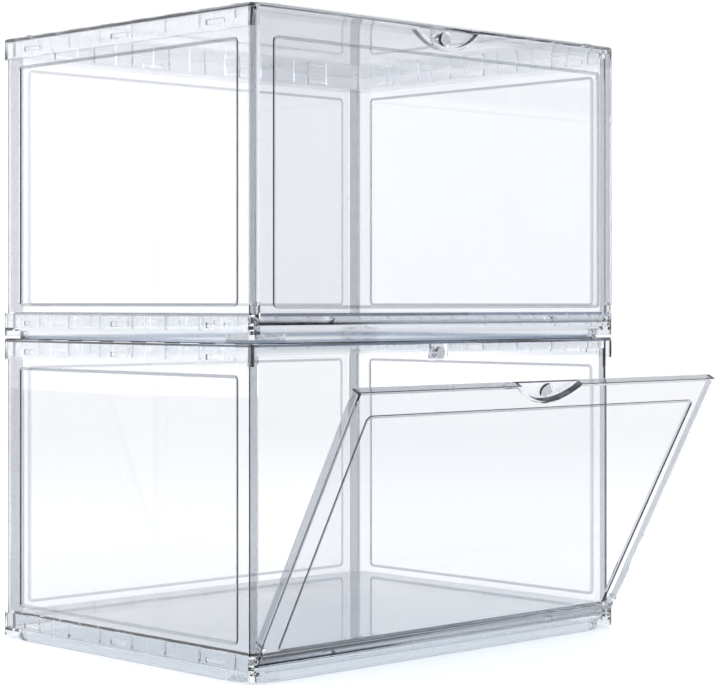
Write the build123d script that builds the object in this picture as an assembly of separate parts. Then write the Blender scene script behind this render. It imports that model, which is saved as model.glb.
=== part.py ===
from build123d import *
import os

# A stack of two clear drop-front shoe boxes, in millimetres. Each box is a base, a lid, two side panels, a back
# panel and a front door that drops forward on two pins at its bottom edge. X runs along the door, the door faces
# -Y, and the origin is on the floor, at the middle of the closed boxes' footprint.

os.makedirs("parts", exist_ok=True)

# Overall size of one box
WIDTH = 360.0  # along the door
DEPTH = 280.0  # front to back
HEIGHT = 218.0  # foot to lid top, which is what each box adds to a stack
BOX_NAMES = ("lower", "upper")
DOOR_OPEN = {"lower": 28.5, "upper": 0.0}  # degrees that each door stands open at rest

# Mouldings
WALL = 2.2  # base, lid and door
CORNER = 6.0  # outer corner radius of the base and lid, seen from above
SHEET = 2.2  # side and back panels
GAP = 0.2  # between a panel and the moulding that holds it
EDGE_ROUND = 1.6  # round along the lid's top edge

# Base
FOOT_HEIGHT = 2.0
FOOT_INSET = 1.6
FOOT_WALL = 2.6
FOOT_CORNER = 28.0
BASE_SKIRT_TOP = 18.2
FLOOR_TOP = 19.2
GROOVE_FLOOR = 7.8  # what the panels stand on
SILL_TOP = 10.9
SILL_WINDOW = 8.5  # width of the two small windows in the riser behind the sill
SILL_WINDOW_X = 109.0
SILL_WINDOW_Z = (11.5, 16.5)

# Lid
LID_SKIRT = 15.0  # height of the lid's skirt
LID_PLATE = 2.6
LID_INNER_WALL = 10.4  # how far the wall inside the skirt hangs below the plate
DOOR_STOP = 5.5  # how far the flange behind the closed door hangs below the plate
RIDGE_HEIGHT = 1.4  # nests inside the feet of the box above
RIDGE_WALL = 2.0
RIDGE_GAP = 0.5
ARCH_HALF = 35.0  # finger arch in the lid's front edge, over the door's scoop
ARCH_RISE = 1.7

# Grip pads that hold the panels in the grooves of the base and lid
GRIP_GAP = 0.3  # pad to panel
GRIP_WIDTH = 20.0
GRIP_PITCH = 36.0
PAD_SHORT = 1.6  # the pads stop this far short of the free edge of the wall that carries them

# Snap tabs on the panels, and the slots they click into
TAB_WIDTH = 17.4
TAB_HEIGHT = 2.8
TAB_REACH = 2.0
SLOT_GAP = 0.3
SIDE_TABS = (-102.0, 0.0, 102.0)
BACK_TABS = (-127.0, -42.3, 42.3, 127.0)
BASE_TAB_Z = 11.2
LID_TAB_DROP = 9.4  # below the lid's top

# Panels
FIELD_DEPTH = 0.9  # how far a panel's middle is set in
FIELD_BEVEL = 2.2
FIELD_CORNER = 4.0
SIDE_FIELD_MARGIN = 18.6  # from the outside of the box
BACK_FIELD_MARGIN = 21.6
FIELD_BOTTOM = 23.4
FIELD_TOP_DROP = 20.6  # below the lid's top
JAMB = 8.0  # flange behind the door's edge
REAR_FLANGE = 14.0  # flange that the back panel stands against
FLANGE = 2.2

# Door
DOOR_RIM = 6.6  # front face to the back of the rim
RIM_WALL = 2.1
DOOR_SIDE_GAP = 2.4  # door edge to the outside of the box
DOOR_TOP_GAP = 0.4  # under the lid's plate
SILL_GAP = 0.4  # under the door's round bottom edge
DOOR_EDGE_ROUND = 1.8
DOOR_FIELD_SIDE = 15.4  # margins of the door's set-in middle, from the door's own edges
DOOR_FIELD_TOP = 17.0
DOOR_FIELD_BOTTOM = 10.8
EAR_STEP = 2.6  # the door is this much narrower at each side beside the hinge ears
EAR_CLEAR = 0.4
EAR_GAP = 0.3  # back of the ear to the side panel
RIM_GAP = 0.4  # back of the rim to the inner wall
EAR_STEP_HEIGHT = 9.7  # above the hinge axis
SCOOP_HALF = 30.0
SCOOP_DEPTH = 12.1
SCOOP_WELL = 4.6

# Hinge
PIN_RADIUS = 2.0
PIN_LENGTH = 2.9
PIN_FIT = 0.08  # radial clearance of the pin in its ear

# Magnets
MAGNET_RADIUS = 4.0
MAGNET_FIT = 0.1
LID_MAGNET_LENGTH = 4.0
LID_CAP = 2.0
LID_BOSS = 12.5  # width of the boss
LID_BOSS_DROP = 14.4  # below the lid's top
DOOR_MAGNET_LENGTH = 1.6
DOOR_CAP = 0.7
MAGNET_SKIN = 1.0
MAGNET_DROP = 8.8  # magnet centres below the lid's top

# Places that follow from those sizes
PANEL_INSET = WALL + GAP  # outer face of the panels
GRIP_INSET = PANEL_INSET + SHEET + GRIP_GAP
INNER_INSET = DOOR_RIM + RIM_GAP  # outer face of the wall inside the grooves and behind the door
FRONT = -DEPTH / 2
DOOR_BACK = FRONT + DOOR_RIM
INNER_FRONT = FRONT + INNER_INSET
PLATE_BOTTOM = HEIGHT - LID_PLATE
DOOR_TOP = PLATE_BOTTOM - DOOR_TOP_GAP
DOOR_HALF = WIDTH / 2 - DOOR_SIDE_GAP
BARREL = DOOR_RIM / 2  # radius of the door's bottom edge
HINGE_Y = FRONT + BARREL
HINGE_Z = SILL_TOP + SILL_GAP + BARREL
NECK_HALF = DOOR_HALF - EAR_STEP  # half width of the door beside the ears
EAR_INSIDE = NECK_HALF + EAR_CLEAR
PANEL_FRONT = DOOR_BACK + GAP
EAR_BACK = PANEL_FRONT - EAR_GAP
PANEL_BOTTOM = GROOVE_FLOOR + GAP
PANEL_TOP = PLATE_BOTTOM - GAP
PANEL_OUT_X = WIDTH / 2 - PANEL_INSET
PANEL_OUT_Y = DEPTH / 2 - PANEL_INSET
FLANGE_BOTTOM = FLOOR_TOP + GAP
STOP_BOTTOM = PLATE_BOTTOM - DOOR_STOP
INNER_WALL_BOTTOM = PLATE_BOTTOM - LID_INNER_WALL
LID_TAB_Z = HEIGHT - LID_TAB_DROP
MAGNET_Z = HEIGHT - MAGNET_DROP
FIELD_TOP = HEIGHT - FIELD_TOP_DROP


def block(x, y, z):
    """A box between two values on each axis."""
    centre = [(low + high) / 2 for low, high in (x, y, z)]
    return Pos(*centre) * Box(x[1] - x[0], y[1] - y[0], z[1] - z[0])


def slab(inset, bottom, top, radius=None):
    """The footprint drawn in by inset, with round corners, between two heights."""
    corner = max(CORNER - inset, 1.0) if radius is None else radius
    outline = RectangleRounded(WIDTH - 2 * inset, DEPTH - 2 * inset, corner)
    return extrude(Pos(0, 0, bottom) * outline, amount=top - bottom)


def ring(inset, thickness, bottom, top, radius=None):
    """A wall that follows the footprint."""
    inner = None if radius is None else radius - thickness
    return slab(inset, bottom, top, radius) - slab(inset + thickness, bottom, top, inner)


def cylinder_along(axis, x, y, z, radius, length):
    """A cylinder that starts at a point and runs along +X or +Y."""
    direction = (1, 0, 0) if axis == "x" else (0, 1, 0)
    return extrude(Plane(origin=(x, y, z), z_dir=direction) * Circle(radius), amount=length)


def bevelled_field(plane, width, height, radius, depth):
    """A shallow rounded rectangle on plane whose sides slope in as it rises by depth."""
    wide = plane * RectangleRounded(width, height, radius)
    narrow_size = (width - 2 * FIELD_BEVEL, height - 2 * FIELD_BEVEL)
    narrow = plane.offset(depth) * RectangleRounded(*narrow_size, radius - FIELD_BEVEL)
    return loft([wide, narrow])


def set_in(sheet, outer, inner, width, height, radius=FIELD_CORNER):
    """Press the middle of a sheet inwards: cut it on the outer plane and fill it out on the inner one."""
    sheet -= bevelled_field(outer, width, height, radius, FIELD_DEPTH)
    return sheet + bevelled_field(inner, width, height, radius, FIELD_DEPTH)


def tab_boxes(width, height, inside, outside, z):
    """Boxes at every snap tab of one box at one height: the tabs themselves, or their slots."""
    rise = (z - height / 2, z + height / 2)
    sides = [(y - width / 2, y + width / 2) for y in SIDE_TABS]
    backs = [(x - width / 2, x + width / 2) for x in BACK_TABS]
    span_x = (WIDTH / 2 - inside, WIDTH / 2 - outside)
    span_y = (DEPTH / 2 - inside, DEPTH / 2 - outside)
    left = [block((-span_x[1], -span_x[0]), y, rise) for y in sides]
    right = [block(span_x, y, rise) for y in sides]
    back = [block(x, span_y, rise) for x in backs]
    return {"left": left, "right": right, "back": back}


def slots(z):
    """The slots through a skirt, all round."""
    boxes = tab_boxes(TAB_WIDTH + 2 * SLOT_GAP, TAB_HEIGHT + 2 * SLOT_GAP, PANEL_INSET, -1.0, z)
    return boxes["left"] + boxes["right"] + boxes["back"]


def tabs(side):
    """One panel's snap tabs, in the base's slots and in the lid's."""
    low = tab_boxes(TAB_WIDTH, TAB_HEIGHT, PANEL_INSET, PANEL_INSET - TAB_REACH, BASE_TAB_Z)
    high = tab_boxes(TAB_WIDTH, TAB_HEIGHT, PANEL_INSET, PANEL_INSET - TAB_REACH, LID_TAB_Z)
    return low[side] + high[side]


def centres(length):
    """Evenly pitched places about the middle of a length."""
    count = int(length // GRIP_PITCH)
    return [(i - (count - 1) / 2) * GRIP_PITCH for i in range(count)]


def grip_pads(bottom, top):
    """The row of pads on the inner wall that grips the panels, on the two sides and the back."""
    reach = (GRIP_INSET, INNER_INSET + WALL / 2)
    half = GRIP_WIDTH / 2
    pads = []
    for y in centres(DEPTH - 2 * CORNER - REAR_FLANGE):
        out = (WIDTH / 2 - reach[1], WIDTH / 2 - reach[0])
        pads.append(block(out, (y - half, y + half), (bottom, top)))
        pads.append(block((-out[1], -out[0]), (y - half, y + half), (bottom, top)))
    for x in centres(WIDTH - 2 * CORNER - 2 * REAR_FLANGE):
        pads.append(block((x - half, x + half), (DEPTH / 2 - reach[1], DEPTH / 2 - reach[0]), (bottom, top)))
    return pads


def make_base():
    """Tray that the panels stand in, with the door's sill and hinge ears at the front."""
    front_open = (-EAR_INSIDE, EAR_INSIDE)
    tray = ring(0, WALL, FOOT_HEIGHT, BASE_SKIRT_TOP)
    for side in (-1, 1):
        ear_x = sorted((side * EAR_INSIDE, side * WIDTH / 2))
        ear = block(ear_x, (FRONT, EAR_BACK), (FOOT_HEIGHT, BASE_SKIRT_TOP))
        tray += ear & slab(0, FOOT_HEIGHT, BASE_SKIRT_TOP)
    tray -= block(front_open, (FRONT - 1, INNER_FRONT), (SILL_TOP, BASE_SKIRT_TOP + 1))
    riser_x = (INNER_INSET - WIDTH / 2, WIDTH / 2 - INNER_INSET)
    groove = (GROOVE_FLOOR - WALL, GROOVE_FLOOR)
    tray += ring(WALL / 2, INNER_INSET, *groove) - block(riser_x, (FRONT + WALL, INNER_FRONT), groove)
    tray += block(front_open, (FRONT + WALL / 2, EAR_BACK), (SILL_TOP - WALL, SILL_TOP))
    tray += block(riser_x, (EAR_BACK, INNER_FRONT + WALL / 2), (SILL_TOP - WALL, SILL_TOP))
    tray += ring(INNER_INSET, WALL, GROOVE_FLOOR - WALL / 2, FLOOR_TOP)
    tray += slab(INNER_INSET, FLOOR_TOP - WALL, FLOOR_TOP)
    tray += ring(FOOT_INSET, FOOT_WALL, 0, GROOVE_FLOOR - WALL / 2, FOOT_CORNER)
    tray += grip_pads(GROOVE_FLOOR - WALL / 2, FLOOR_TOP - PAD_SHORT)
    tray -= slots(BASE_TAB_Z)
    for side in (-1, 1):
        window_x = (side * SILL_WINDOW_X - SILL_WINDOW / 2, side * SILL_WINDOW_X + SILL_WINDOW / 2)
        tray -= block(window_x, (INNER_FRONT - 1, INNER_FRONT + WALL + 1), SILL_WINDOW_Z)
        hole = PIN_LENGTH - EAR_CLEAR + GAP
        start = EAR_INSIDE if side > 0 else -EAR_INSIDE - hole
        tray -= cylinder_along("x", start, HINGE_Y, HINGE_Z, PIN_RADIUS + PIN_FIT, hole)
    return tray


def make_lid():
    """Top plate with a skirt on three sides, the door's stop flange and the boss for the catch magnet."""
    plate = slab(0, PLATE_BOTTOM, HEIGHT)
    plate = fillet(plate.edges().group_by(Axis.Z)[-1], EDGE_ROUND)
    lid = plate + ring(0, WALL, HEIGHT - LID_SKIRT, HEIGHT - EDGE_ROUND)
    door_space = (-DOOR_HALF - GAP, DOOR_HALF + GAP)
    lid -= block(door_space, (FRONT - 1, INNER_FRONT), (HEIGHT - LID_SKIRT - 1, PLATE_BOTTOM))
    inner = ring(INNER_INSET, WALL, INNER_WALL_BOTTOM, PLATE_BOTTOM + WALL / 2)
    front_cut = block((-WIDTH / 2, WIDTH / 2), (FRONT, INNER_FRONT + WALL + 1), (0, STOP_BOTTOM))
    lid += inner - front_cut
    lid += grip_pads(INNER_WALL_BOTTOM + PAD_SHORT, PLATE_BOTTOM + WALL / 2)
    ridge_inset = FOOT_INSET + FOOT_WALL + RIDGE_GAP
    ridge_corner = FOOT_CORNER - FOOT_WALL - RIDGE_GAP
    lid += ring(ridge_inset, RIDGE_WALL, HEIGHT - WALL / 2, HEIGHT + RIDGE_HEIGHT, ridge_corner)
    boss_back = INNER_FRONT + MAGNET_SKIN + LID_MAGNET_LENGTH + 2 * MAGNET_FIT + LID_CAP
    boss_z = (HEIGHT - LID_BOSS_DROP, PLATE_BOTTOM + WALL / 2)
    lid += block((-LID_BOSS / 2, LID_BOSS / 2), (INNER_FRONT, boss_back), boss_z)
    pocket = boss_back - INNER_FRONT - MAGNET_SKIN
    lid -= cylinder_along("y", 0, INNER_FRONT + MAGNET_SKIN, MAGNET_Z, MAGNET_RADIUS + MAGNET_FIT, pocket)
    arch_radius = (ARCH_HALF**2 + ARCH_RISE**2) / (2 * ARCH_RISE)
    arch_z = PLATE_BOTTOM + ARCH_RISE - arch_radius
    lid -= cylinder_along("y", 0, FRONT - 1, arch_z, arch_radius, INNER_FRONT - FRONT + 1)
    lid -= slots(LID_TAB_Z)
    return lid


def make_side_panel(side):
    """Side wall: a sheet with a set-in middle, a jamb flange at the front and a flange for the back panel."""
    out = PANEL_OUT_X
    panel = block((out - SHEET, out), (PANEL_FRONT, PANEL_OUT_Y), (PANEL_BOTTOM, PANEL_TOP))
    panel &= slab(PANEL_INSET, PANEL_BOTTOM, PANEL_TOP)
    jamb_z = (FLANGE_BOTTOM, STOP_BOTTOM - GAP)
    rear_z = (FLANGE_BOTTOM, INNER_WALL_BOTTOM - GAP)
    back_inside = PANEL_OUT_Y - SHEET - GAP
    panel += block((out - JAMB, out - SHEET / 2), (PANEL_FRONT, PANEL_FRONT + FLANGE), jamb_z)
    panel += block((out - REAR_FLANGE, out - SHEET / 2), (back_inside - FLANGE, back_inside), rear_z)
    middle = (FIELD_TOP + FIELD_BOTTOM) / 2
    length = DEPTH - 2 * SIDE_FIELD_MARGIN
    outer = Plane(origin=(out, 0, middle), x_dir=(0, 1, 0), z_dir=(-1, 0, 0))
    inner = Plane(origin=(out - SHEET, 0, middle), x_dir=(0, 1, 0), z_dir=(-1, 0, 0))
    panel = set_in(panel, outer, inner, length, FIELD_TOP - FIELD_BOTTOM)
    panel += tabs("right")
    return panel if side > 0 else mirror(panel, about=Plane.YZ)


def make_back_panel():
    """Back wall: a sheet between the two side panels, with a set-in middle."""
    half = PANEL_OUT_X - SHEET - GAP
    panel = block((-half, half), (PANEL_OUT_Y - SHEET, PANEL_OUT_Y), (PANEL_BOTTOM, PANEL_TOP))
    panel &= slab(PANEL_INSET, PANEL_BOTTOM, PANEL_TOP)
    middle = (FIELD_TOP + FIELD_BOTTOM) / 2
    length = WIDTH - 2 * BACK_FIELD_MARGIN
    outer = Plane(origin=(0, PANEL_OUT_Y, middle), x_dir=(1, 0, 0), z_dir=(0, -1, 0))
    inner = Plane(origin=(0, PANEL_OUT_Y - SHEET, middle), x_dir=(1, 0, 0), z_dir=(0, -1, 0))
    panel = set_in(panel, outer, inner, length, FIELD_TOP - FIELD_BOTTOM)
    return panel + tabs("back")


def make_door():
    """Front door: a shallow tray with a round bottom edge, two hinge pins and a scoop for the finger."""
    full = (-DOOR_HALF, DOOR_HALF)
    neck = (-NECK_HALF, NECK_HALF)
    rim = (FRONT, DOOR_BACK)
    step_top = HINGE_Z + EAR_STEP_HEIGHT
    envelope = block(full, rim, (step_top, DOOR_TOP))
    envelope = fillet(envelope.edges().filter_by(Axis.Z).group_by(Axis.Y)[0], DOOR_EDGE_ROUND)
    envelope += block(neck, rim, (HINGE_Z, step_top))
    envelope += cylinder_along("x", -NECK_HALF, HINGE_Y, HINGE_Z, BARREL, 2 * NECK_HALF)
    behind = (FRONT + WALL, DOOR_BACK + 1)
    inner_half = DOOR_HALF - RIM_WALL
    hollow = block((-inner_half, inner_half), behind, (step_top + RIM_WALL, DOOR_TOP - RIM_WALL))
    neck_inside = (-NECK_HALF + RIM_WALL, NECK_HALF - RIM_WALL)
    hollow += block(neck_inside, behind, (HINGE_Z + BARREL - RIM_WALL, step_top + RIM_WALL))
    scoop_radius = (SCOOP_HALF**2 + SCOOP_DEPTH**2) / (2 * SCOOP_DEPTH)
    scoop_z = DOOR_TOP - SCOOP_DEPTH + scoop_radius
    cup = cylinder_along("y", 0, FRONT, scoop_z, scoop_radius + RIM_WALL, DOOR_RIM)
    door = envelope - hollow + (cup & envelope)
    door -= cylinder_along("y", 0, FRONT - 1, scoop_z, scoop_radius, SCOOP_WELL + 1)
    boss_depth = MAGNET_SKIN + DOOR_MAGNET_LENGTH + 2 * MAGNET_FIT + DOOR_CAP + MAGNET_FIT
    boss_y = DOOR_BACK - boss_depth
    pocket = MAGNET_RADIUS + MAGNET_FIT
    door += cylinder_along("y", 0, boss_y, MAGNET_Z, pocket + MAGNET_SKIN, boss_depth)
    door -= cylinder_along("y", 0, boss_y + MAGNET_SKIN, MAGNET_Z, pocket, boss_depth)
    bottom = HINGE_Z - BARREL + DOOR_FIELD_BOTTOM
    height = DOOR_TOP - DOOR_FIELD_TOP - bottom
    outer = Plane(origin=(0, FRONT, bottom + height / 2), x_dir=(1, 0, 0), z_dir=(0, 1, 0))
    door = set_in(door, outer, outer.offset(WALL), 2 * (DOOR_HALF - DOOR_FIELD_SIDE), height)
    for start in (-NECK_HALF - PIN_LENGTH, NECK_HALF - RIM_WALL / 2):
        door += cylinder_along("x", start, HINGE_Y, HINGE_Z, PIN_RADIUS, PIN_LENGTH + RIM_WALL / 2)
    return door


def make_magnets():
    """The catch: a magnet and its cap in the lid's boss, and a thinner pair behind the door's scoop."""
    front = INNER_FRONT + MAGNET_SKIN + MAGNET_FIT
    lid_magnet = cylinder_along("y", 0, front, MAGNET_Z, MAGNET_RADIUS, LID_MAGNET_LENGTH)
    cap_front = front + LID_MAGNET_LENGTH + MAGNET_FIT
    lid_cap = cylinder_along("y", 0, cap_front, MAGNET_Z, MAGNET_RADIUS, LID_CAP)
    door_cap_front = DOOR_BACK - MAGNET_FIT - DOOR_CAP
    door_cap = cylinder_along("y", 0, door_cap_front, MAGNET_Z, MAGNET_RADIUS, DOOR_CAP)
    magnet_front = door_cap_front - MAGNET_FIT - DOOR_MAGNET_LENGTH
    door_magnet = cylinder_along("y", 0, magnet_front, MAGNET_Z, MAGNET_RADIUS, DOOR_MAGNET_LENGTH)
    return {"lid_magnet": lid_magnet, "lid_magnet_cap": lid_cap}, {"magnet": door_magnet, "cap": door_cap}


def make_box():
    """The fixed pieces and the door pieces of one closed box that stands on the floor."""
    lid_magnets, door_magnets = make_magnets()
    fixed = {
        "base": make_base(),
        "lid": make_lid(),
        "left_side_panel": make_side_panel(-1),
        "right_side_panel": make_side_panel(1),
        "back_panel": make_back_panel(),
        **lid_magnets,
    }
    swinging = {
        "door": make_door(),
        "door_magnet": door_magnets["magnet"],
        "door_magnet_cap": door_magnets["cap"],
    }
    return fixed, swinging


def main():
    fixed, swinging = make_box()
    hinge = Axis((0, HINGE_Y, HINGE_Z), (1, 0, 0))
    for level, name in enumerate(BOX_NAMES):
        lift = Pos(0, 0, level * HEIGHT)
        for piece, solid in fixed.items():
            export_step(lift * solid, f"parts/{name}_{piece}.step")
        for piece, solid in swinging.items():
            export_step(lift * solid.rotate(hinge, DOOR_OPEN[name]), f"parts/{name}_{piece}.step")


main()
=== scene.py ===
"""Looks of the stacked clear drop-front shoe boxes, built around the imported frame."""
import math

import bpy
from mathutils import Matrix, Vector

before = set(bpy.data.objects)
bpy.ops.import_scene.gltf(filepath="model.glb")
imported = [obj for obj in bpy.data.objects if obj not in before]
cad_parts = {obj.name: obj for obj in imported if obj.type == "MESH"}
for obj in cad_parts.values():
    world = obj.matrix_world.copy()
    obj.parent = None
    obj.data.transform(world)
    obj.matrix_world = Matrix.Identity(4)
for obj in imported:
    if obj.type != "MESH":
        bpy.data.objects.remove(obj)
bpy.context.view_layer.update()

# Camera: level, low, off the front left corner, as far away as a product shot of this size is taken from
CAMERA_YAW = 43.83  # degrees to the right of +Y that it looks
CAMERA_PLACE = (-1.0693, -1.1645, 0.2439)
CAMERA_LENS = 106.56
CAMERA_SENSOR = 36.0  # mm wide
CAMERA_SHIFT = -0.0551  # keeps the box's upright edges parallel

# Studio
ROOM_RADIUS = 3.2
ROOM_BEND = 0.7
ROOM_HEIGHT = 1.5
ROOM_HUB = 0.02  # radius of the disc that closes the middle
BEND_STEPS = 12
ROUND_STEPS = 96
PAPER_WHITE = 0.905
PAPER_GLOW = 0.12
SKY = (0.76, 0.765, 0.785)
LAMPS = (  # name, place, aim, size, watts
    ("overhead", (0.0, 0.3, 2.3), (0.0, 0.0, 0.0), (2.2, 2.2), 26),
    ("front_left", (-2.2, -1.4, 1.6), (0.0, 0.0, 0.2), (1.2, 1.2), 6),
    ("back_left", (-1.95, 1.75, 0.78), (-0.18, 0.0, 0.2), (1.9, 1.5), 11),
)
BOUNCES = 32
GLOSSY_BOUNCES = 10

# The boxes, in metres
BOX_PITCH = 0.218
HINGE_Y, HINGE_Z = -0.1367, 0.0146
DOOR_OPEN = math.radians(28.5)  # how far the lower door has dropped
SCOOP_HALF = 0.0315
SCOOP_RISE = 0.2005  # height in a closed box above which the scoop lies
SEAM = 0.2187  # height where the two boxes meet
SEAM_REACH = 0.0015
EDGE_ROUNDING = 0.0003
WELD_DISTANCE = 0.00001

# Clear plastic
PLASTIC_IOR = 1.49
SIDE_TINT = (0.965, 0.966, 0.97)
SHEET_TINT = (0.875, 0.878, 0.893)
# painted shade: the sheets' edge faces are painted darker than their broad faces
SHEET_EDGE_TINT_AND_PAINTED_SHADE = (0.54, 0.56, 0.59)
# painted shade: the trays' level faces are painted darker than their upright skirts
TRAY_LEVEL_TINT_AND_PAINTED_SHADE = (0.66, 0.685, 0.71)
TRAY_SKIRT_TINT = (0.885, 0.893, 0.905)
CLOUD_TINT = (0.972, 0.976, 0.982)
# painted shade: the walls of the finger scoops are painted nearly black
SCOOP_PAINTED_SHADE = (0.06, 0.07, 0.09)
# painted shade on the faces where the two boxes meet
SEAM_PAINTED_SHADE = (0.68, 0.73, 0.79)
LAMP_TINT = (0.93, 0.945, 0.96)  # what a sheet leaves of a lamp's light
DEPTH_TINT = (0.44, 0.50, 0.60)  # what a long way through the plastic leaves of white
SQUARE_LOW, SQUARE_HIGH = 0.92, 0.995  # between a sloping face and one square to its axis
WALL_LIMIT = 0.9  # below this a face is a scoop's wall
RIPPLE_DEPTH = 0.0006
RIPPLE_STRETCH = (1.0, 1.0, 0.35)
NOISE_LOW, NOISE_HIGH = 0.3, 0.7  # the span that most noise values lie in


def new_material(name):
    material = bpy.data.materials.new(name)
    material.use_nodes = True
    return material, material.node_tree.nodes, material.node_tree.links


def noise(nodes, links, scale, detail=3.0, stretch=(1.0, 1.0, 1.0)):
    """Noise in the object's own metres, drawn out along an axis if stretch says so."""
    place = nodes.new("ShaderNodeTexCoord")
    mapping = nodes.new("ShaderNodeMapping")
    mapping.inputs["Scale"].default_value = stretch
    texture = nodes.new("ShaderNodeTexNoise")
    texture.inputs["Scale"].default_value = scale
    texture.inputs["Detail"].default_value = detail
    links.new(place.outputs["Object"], mapping.inputs["Vector"])
    links.new(mapping.outputs["Vector"], texture.inputs["Vector"])
    return texture.outputs["Fac"]


def ranged(nodes, links, value, low, high):
    """Noise mapped to the span from low to high."""
    mapped = nodes.new("ShaderNodeMapRange")
    mapped.inputs["From Min"].default_value = NOISE_LOW
    mapped.inputs["From Max"].default_value = NOISE_HIGH
    mapped.inputs["To Min"].default_value = low
    mapped.inputs["To Max"].default_value = high
    links.new(value, mapped.inputs["Value"])
    return mapped.outputs["Result"]


def calculate(nodes, links, operation, *values):
    """Result of a Math node on values, each a socket or a number."""
    node = nodes.new("ShaderNodeMath")
    node.operation = operation
    for socket, value in zip(node.inputs, values):
        if isinstance(value, float):
            socket.default_value = value
        else:
            links.new(value, socket)
    return node.outputs["Value"]


def along(nodes, links, vector, direction):
    """How far vector reaches along direction."""
    node = nodes.new("ShaderNodeVectorMath")
    node.operation = "DOT_PRODUCT"
    node.inputs[1].default_value = direction
    links.new(vector, node.inputs[0])
    return node.outputs["Value"]


def blend(nodes, links, factor, first, second, mode="MIX"):
    """Colour from first to second as factor goes from 0 to 1. Each colour is a socket or a tuple."""
    mix = nodes.new("ShaderNodeMix")
    mix.data_type = "RGBA"
    mix.blend_type = mode
    links.new(factor, mix.inputs["Factor"])
    for letter, colour in (("A", first), ("B", second)):
        if isinstance(colour, tuple):
            mix.inputs[letter].default_value = (*colour, 1.0)
        else:
            links.new(colour, mix.inputs[letter])
    return mix.outputs["Result"]


def raise_surface(nodes, links, height, strength, distance=None):
    """Bump the material's surface by height."""
    bump = nodes.new("ShaderNodeBump")
    bump.inputs["Strength"].default_value = strength
    if distance is not None:
        bump.inputs["Distance"].default_value = distance
    links.new(height, bump.inputs["Height"])
    links.new(bump.outputs["Normal"], nodes["Principled BSDF"].inputs["Normal"])


def plastic_tint_and_painted_shade(nodes, links, axis, face_tint, edge_tint, seam, scoop):
    """Colour of clear_plastic, whose arguments these are, with its painted shade by facing, at the seam and in
    scoops.
    """
    coordinates = nodes.new("ShaderNodeTexCoord").outputs
    place = nodes.new("ShaderNodeSeparateXYZ")
    links.new(coordinates["Object"], place.inputs["Vector"])
    square = calculate(nodes, links, "ABSOLUTE", along(nodes, links, coordinates["Normal"], axis))
    facing = nodes.new("ShaderNodeMapRange")
    facing.interpolation_type = "SMOOTHSTEP"
    facing.inputs["From Min"].default_value = SQUARE_LOW
    facing.inputs["From Max"].default_value = SQUARE_HIGH
    links.new(square, facing.inputs["Value"])
    # painted shade by facing: darker level faces on the trays, darker edge faces on the sheets
    tint_and_painted_shade = blend(nodes, links, facing.outputs["Result"], edge_tint, face_tint)
    tint_and_painted_shade = blend(nodes, links, noise(nodes, links, 9.0), tint_and_painted_shade, CLOUD_TINT, "MULTIPLY")
    # painted shade: the walls of the finger scoop are painted nearly black
    if scoop is not None:
        direction, rise = scoop
        wall = calculate(nodes, links, "GREATER_THAN", along(nodes, links, coordinates["Object"], direction), rise)
        for operation, value, limit in (("GREATER_THAN", place.outputs["X"], -SCOOP_HALF),
                                        ("LESS_THAN", place.outputs["X"], SCOOP_HALF),
                                        ("LESS_THAN", square, WALL_LIMIT)):
            wall = calculate(nodes, links, "MULTIPLY", wall, calculate(nodes, links, operation, value, limit))
        tint_and_painted_shade = blend(nodes, links, wall, tint_and_painted_shade, SCOOP_PAINTED_SHADE)
    # painted shade across the band where the two boxes meet
    if seam is not None:
        seam_shade_mask = calculate(nodes, links, "COMPARE", place.outputs["Z"], seam, SEAM_REACH)
        tint_and_painted_shade = blend(nodes, links, seam_shade_mask, tint_and_painted_shade, SEAM_PAINTED_SHADE, "MULTIPLY")
    return tint_and_painted_shade


def clear_plastic(name, axis, face_tint, edge_tint, density, ripple, haze, seam=None, scoop=None):
    """Moulded clear plastic with flow ripples, light haze and darker long ways through it.

    Faces square to axis pass face_tint of the light, and the others pass edge_tint; the difference between them is
    painted shade. Near the height seam, where two boxes meet, all faces are darker with painted shade. The walls of
    a finger scoop, which lies beyond the rise given in scoop along its direction, are painted nearly black as
    shade.
    """
    material, nodes, links = new_material(name)
    shader = nodes["Principled BSDF"]
    shader.inputs["IOR"].default_value = PLASTIC_IOR
    shader.inputs["Transmission Weight"].default_value = 1.0
    tint_and_painted_shade = plastic_tint_and_painted_shade(nodes, links, axis, face_tint, edge_tint, seam, scoop)
    links.new(tint_and_painted_shade, shader.inputs["Base Color"])
    links.new(ranged(nodes, links, noise(nodes, links, 40.0, 5.0), 0.0, haze), shader.inputs["Roughness"])
    raise_surface(nodes, links, noise(nodes, links, 14.0, 1.0, RIPPLE_STRETCH), ripple, RIPPLE_DEPTH)
    # lamps pass as through a thin clear sheet
    clear = nodes.new("ShaderNodeBsdfTransparent")
    clear.inputs["Color"].default_value = (*LAMP_TINT, 1.0)
    path = nodes.new("ShaderNodeLightPath")
    mix = nodes.new("ShaderNodeMixShader")
    links.new(path.outputs["Is Shadow Ray"], mix.inputs["Fac"])
    links.new(shader.outputs["BSDF"], mix.inputs[1])
    links.new(clear.outputs["BSDF"], mix.inputs[2])
    out = nodes["Material Output"]
    links.new(mix.outputs["Shader"], out.inputs["Surface"])
    depth = nodes.new("ShaderNodeVolumeAbsorption")
    depth.inputs["Color"].default_value = (*DEPTH_TINT, 1.0)
    depth.inputs["Density"].default_value = density
    links.new(depth.outputs["Volume"], out.inputs["Volume"])
    return material


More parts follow.
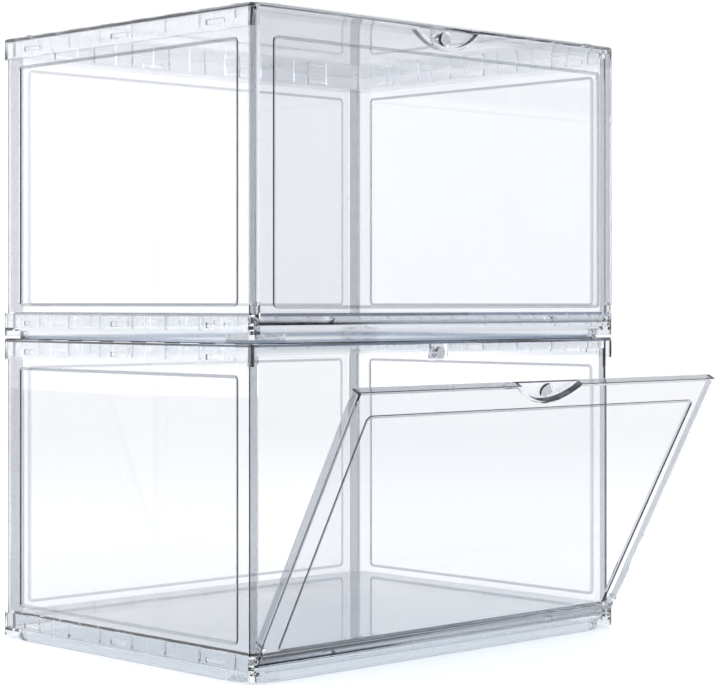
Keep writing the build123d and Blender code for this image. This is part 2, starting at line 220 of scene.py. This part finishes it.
def nickel():
    """Nickel-plated magnet, faintly mottled."""
    material, nodes, links = new_material("nickel_plate")
    shader = nodes["Principled BSDF"]
    shader.inputs["Metallic"].default_value = 1.0
    mottle = blend(nodes, links, noise(nodes, links, 900.0, 6.0), (0.62, 0.63, 0.64), (0.80, 0.80, 0.80))
    links.new(mottle, shader.inputs["Base Color"])
    links.new(ranged(nodes, links, noise(nodes, links, 1500.0), 0.18, 0.4), shader.inputs["Roughness"])
    return material


def soften_edges(obj):
    """Round the moulding's sharp edges a little, so that they catch the light."""
    weld = obj.modifiers.new("weld", "WELD")
    weld.merge_threshold = WELD_DISTANCE
    bevel = obj.modifiers.new("edge_round", "BEVEL")
    bevel.width = EDGE_ROUNDING
    bevel.segments = 2
    bevel.limit_method = "ANGLE"
    bevel.angle_limit = math.radians(35)
    bevel.harden_normals = True


def paint():
    """Give every piece its finish."""
    across, deep, up = (1.0, 0.0, 0.0), (0.0, 1.0, 0.0), (0.0, 0.0, 1.0)
    dropped_deep = (0.0, math.cos(DOOR_OPEN), math.sin(DOOR_OPEN))
    dropped_up = (0.0, -math.sin(DOOR_OPEN), math.cos(DOOR_OPEN))
    upper_scoop = (up, BOX_PITCH + SCOOP_RISE)
    hinge_rise = HINGE_Y * dropped_up[1] + HINGE_Z * dropped_up[2]
    lower_scoop = (dropped_up, hinge_rise + SCOOP_RISE - HINGE_Z)
    side = clear_plastic("clear_side", across, SIDE_TINT, SHEET_EDGE_TINT_AND_PAINTED_SHADE, 6.0, 0.10, 0.03)
    back = clear_plastic("clear_back", deep, SHEET_TINT, SHEET_EDGE_TINT_AND_PAINTED_SHADE, 6.0, 0.10, 0.03)
    tray = clear_plastic("clear_tray", up, TRAY_LEVEL_TINT_AND_PAINTED_SHADE, TRAY_SKIRT_TINT, 2.0, 0.16, 0.06)
    # painted shade: lower lid and upper base get a tray copy darkened at the seam and by a higher density, also
    # when apart
    seam_shaded_tray = clear_plastic("clear_tray_painted_seam_shade", up, TRAY_LEVEL_TINT_AND_PAINTED_SHADE, TRAY_SKIRT_TINT, 10.0, 0.16, 0.06, seam=SEAM)
    # each door carries the painted shade on the walls of its finger scoop
    doors = {name: clear_plastic(finish, axis, SHEET_TINT, SHEET_EDGE_TINT_AND_PAINTED_SHADE, 8.0, 0.08, 0.02, scoop=scoop)
             for name, finish, axis, scoop in (("upper_door", "clear_door", deep, upper_scoop),
                                               ("lower_door", "clear_dropped_door", dropped_deep, lower_scoop))}
    metal = nickel()
    for name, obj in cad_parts.items():
        if name.endswith("magnet"):
            finish = metal
        elif name.endswith("side_panel"):
            finish = side
        elif name.endswith("back_panel"):
            finish = back
        elif name in doors:
            finish = doors[name]
        elif name in ("lower_lid", "upper_base"):
            finish = seam_shaded_tray
        else:
            finish = tray
        obj.data.materials.clear()
        obj.data.materials.append(finish)
        if not name.endswith(("magnet", "cap")):
            soften_edges(obj)


def studio_paper():
    """Matt white paper with a faint tooth, lit partly from behind like a light table."""
    material, nodes, links = new_material("studio_paper")
    shader = nodes["Principled BSDF"]
    shader.inputs["Base Color"].default_value = (PAPER_WHITE, PAPER_WHITE, PAPER_WHITE, 1.0)
    shader.inputs["Roughness"].default_value = 0.9
    shader.inputs["Specular IOR Level"].default_value = 0.1
    shader.inputs["Emission Color"].default_value = (1.0, 1.0, 1.0, 1.0)
    shader.inputs["Emission Strength"].default_value = PAPER_GLOW
    raise_surface(nodes, links, noise(nodes, links, 300.0), 0.05)
    return material


def room():
    """Round pale floor that curves up into a low wall all the way round."""
    flat_radius = ROOM_RADIUS - ROOM_BEND
    profile = [(ROOM_HUB, 0.0), (flat_radius, 0.0)]
    for i in range(1, BEND_STEPS + 1):
        angle = math.radians(90 * i / BEND_STEPS)
        profile.append((flat_radius + ROOM_BEND * math.sin(angle), ROOM_BEND * (1 - math.cos(angle))))
    profile.append((ROOM_RADIUS, ROOM_HEIGHT))
    turns = [math.radians(360 * k / ROUND_STEPS) for k in range(ROUND_STEPS)]
    points = [(r * math.cos(t), r * math.sin(t), z) for r, z in profile for t in turns]
    faces = []
    for inner in range(0, (len(profile) - 1) * ROUND_STEPS, ROUND_STEPS):
        outer = inner + ROUND_STEPS
        for k in range(ROUND_STEPS):
            n = (k + 1) % ROUND_STEPS
            faces.append((inner + k, outer + k, outer + n, inner + n))
    faces.append(tuple(range(ROUND_STEPS)))
    mesh = bpy.data.meshes.new("studio_floor")
    mesh.from_pydata(points, [], faces)
    mesh.polygons.foreach_set("use_smooth", [True] * len(faces))
    mesh.materials.append(studio_paper())
    obj = bpy.data.objects.new("studio_floor", mesh)
    bpy.context.collection.objects.link(obj)


def area_light(name, place, aim, size, watts):
    light = bpy.data.lights.new(name, "AREA")
    light.shape = "RECTANGLE"
    light.size, light.size_y = size
    light.energy = watts
    obj = bpy.data.objects.new(name, light)
    obj.location = place
    obj.rotation_euler = (Vector(aim) - Vector(place)).to_track_quat("-Z", "Y").to_euler()
    bpy.context.collection.objects.link(obj)


def studio():
    room()
    for lamp in LAMPS:
        area_light(*lamp)
    world = bpy.data.worlds.new("studio_world")
    world.use_nodes = True
    world.node_tree.nodes["Background"].inputs["Color"].default_value = (*SKY, 1.0)
    world.node_tree.nodes["Background"].inputs["Strength"].default_value = 1.0
    scene = bpy.context.scene
    scene.world = world
    scene.view_settings.view_transform = "Standard"
    scene.cycles.max_bounces = BOUNCES
    scene.cycles.transmission_bounces = BOUNCES
    scene.cycles.transparent_max_bounces = BOUNCES
    scene.cycles.glossy_bounces = GLOSSY_BOUNCES


def camera():
    data = bpy.data.cameras.new("camera")
    data.sensor_width = CAMERA_SENSOR
    data.lens = CAMERA_LENS
    data.shift_y = CAMERA_SHIFT
    obj = bpy.data.objects.new("camera", data)
    obj.location = CAMERA_PLACE
    obj.rotation_euler = (math.radians(90), 0, -math.radians(CAMERA_YAW))
    bpy.context.collection.objects.link(obj)
    bpy.context.scene.camera = obj


paint()
studio()
camera()
